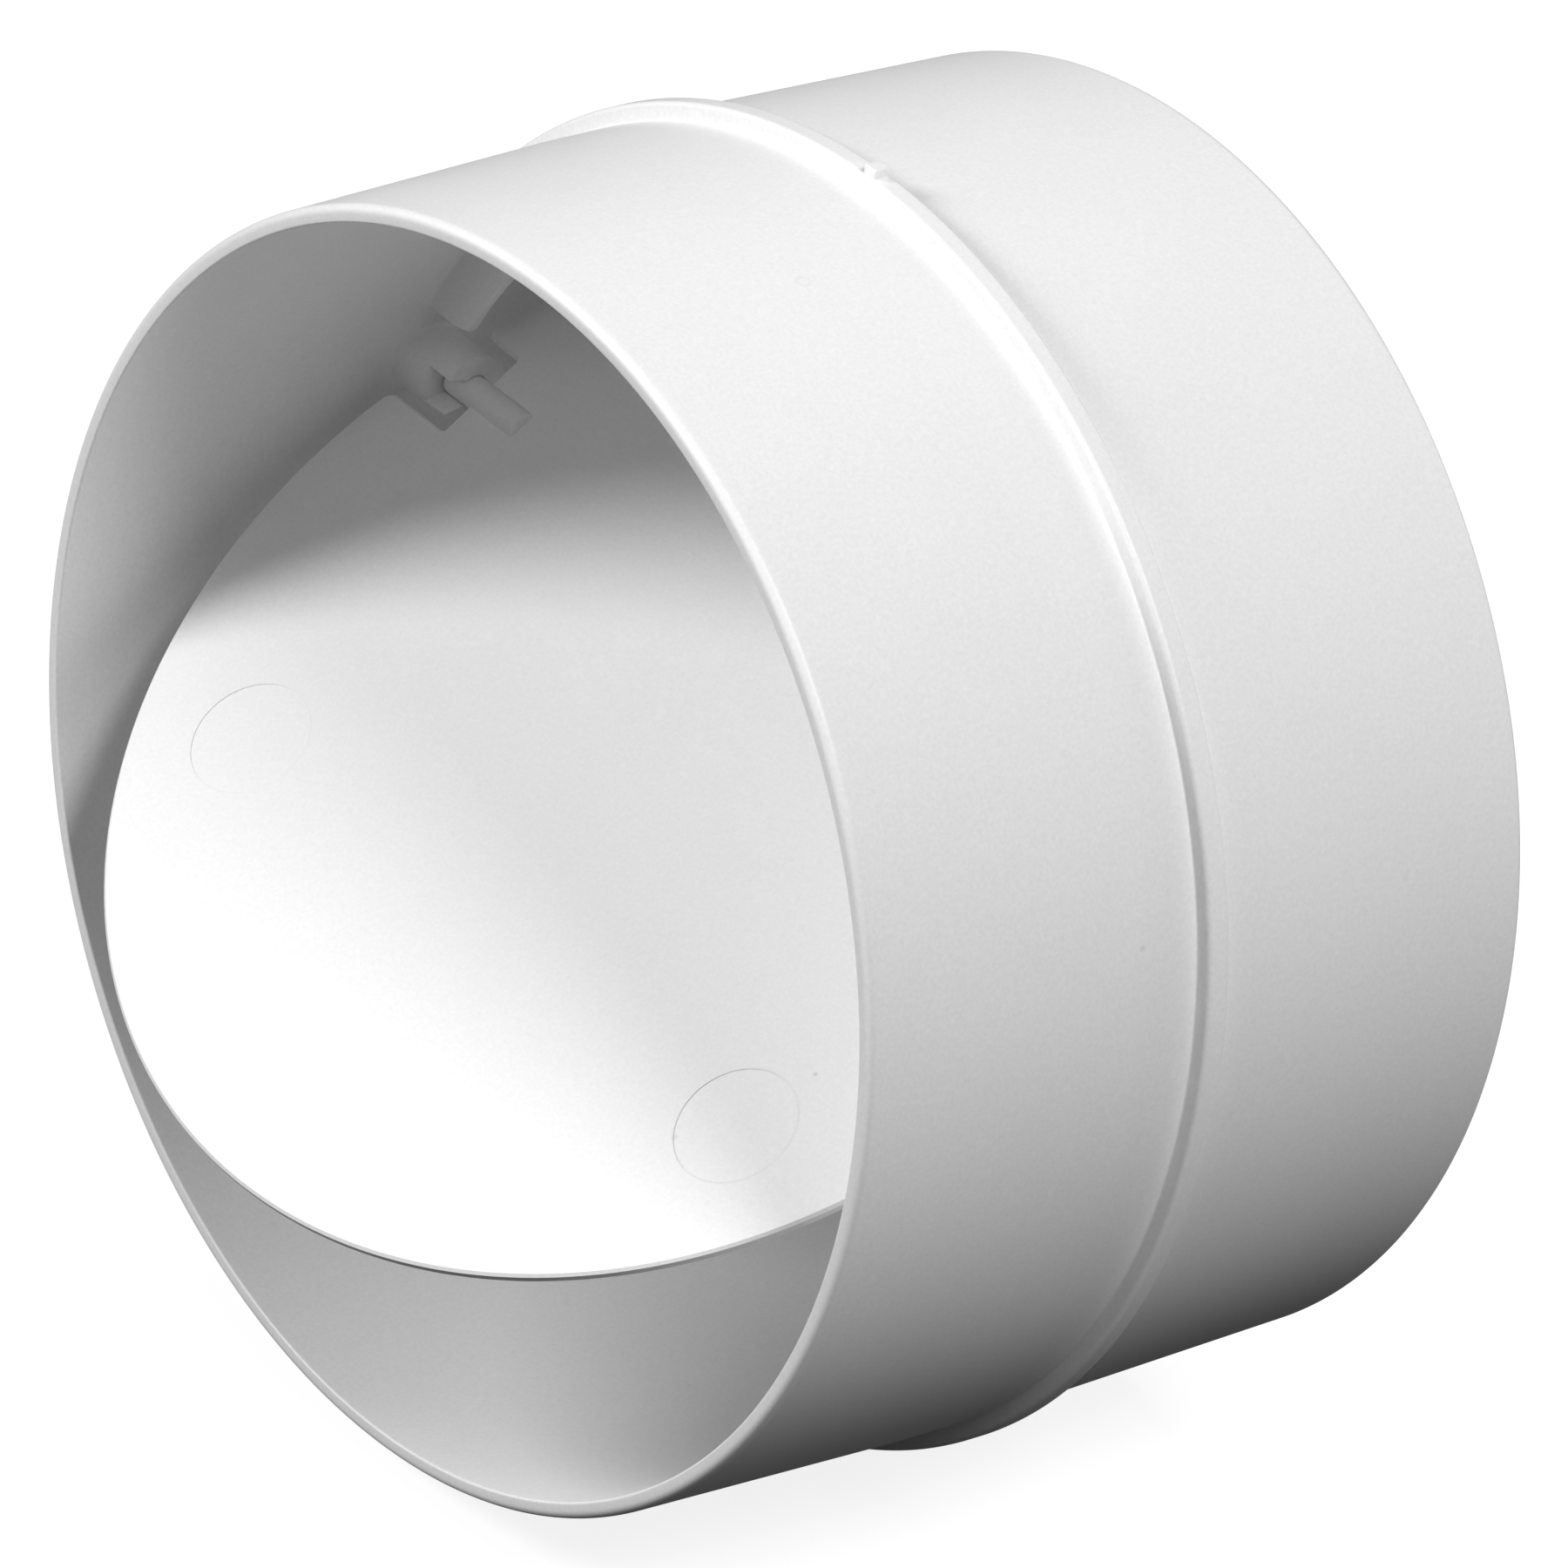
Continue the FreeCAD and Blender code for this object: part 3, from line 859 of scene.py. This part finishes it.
def makeWorld():
    world = bpy.data.worlds.new("studio")
    scene.world = world
    world.use_nodes = True
    nodes, link = world.node_tree.nodes, world.node_tree.links.new
    backdrop = nodes["Background"]
    backdrop.inputs["Color"].default_value = (1, 1, 1, 1)
    level = nodes.new("ShaderNodeMapRange")
    level.inputs["To Min"].default_value = worldFill
    level.inputs["To Max"].default_value = 1.0
    link(lightPathMask(nodes, link), level.inputs["Value"])
    link(level.outputs["Result"], backdrop.inputs["Strength"])


makeWorld()


# lamps: azimuth and elevation as seen from the part; distance, width and height in metres
lampDistance = 1.2
lamps = {
    "key": {"azimuth": -35, "elevation": 29, "width": 0.5, "height": 0.42, "watts": 10.3},
    "front": {"azimuth": 10, "elevation": 26, "width": 0.4, "height": 0.4, "watts": 0.9},
    "side": {"azimuth": 85, "elevation": 51.5, "width": 0.45, "height": 0.5, "watts": 9.9},
    "rear": {"azimuth": 170, "elevation": 25, "width": 0.4, "height": 0.4, "watts": 2.0},
}


def heading(azimuth, elevation):
    a, e = math.radians(azimuth), math.radians(elevation)
    return Vector((math.sin(a) * math.cos(e), -math.cos(a) * math.cos(e), math.sin(e)))


for name, lamp in lamps.items():
    light = bpy.data.lights.new(name, "AREA")
    light.shape = "ELLIPSE"
    light.size, light.size_y = lamp["width"], lamp["height"]
    light.energy = lamp["watts"]
    holder = bpy.data.objects.new(name, light)
    toLamp = heading(lamp["azimuth"], lamp["elevation"])
    holder.location = toLamp * lampDistance
    holder.rotation_mode = "QUATERNION"
    holder.rotation_quaternion = toLamp.to_track_quat("Z", "Y")
    scene.collection.objects.link(holder)

# camera: fitted to the outline of the part in a square picture
eye = {
    "azimuth": 47.094,
    "elevation": 29.713,
    "tilt": 9.687,
    "distance": 1226.8,
    "target": (1.044, -0.796, -0.022),
    "lens": 378.09,
    "sensor": 36.0,
}


def makeCamera():
    data = bpy.data.cameras.new("eye")
    data.lens = eye["lens"]
    data.sensor_width = eye["sensor"]
    data.clip_end = 100  # metres
    camera = bpy.data.objects.new("eye", data)
    back = heading(eye["azimuth"], eye["elevation"])
    place = (Vector(eye["target"]) + back * eye["distance"]) * mm
    level = back.to_track_quat("Z", "Y").to_matrix().to_4x4()
    tilt = Matrix.Rotation(math.radians(eye["tilt"]), 4, "Z")
    camera.matrix_world = Matrix.Translation(place) @ level @ tilt
    scene.collection.objects.link(camera)
    scene.camera = camera


makeCamera()
scene.view_settings.view_transform = "Standard"
print("stage, lamps and camera in place")
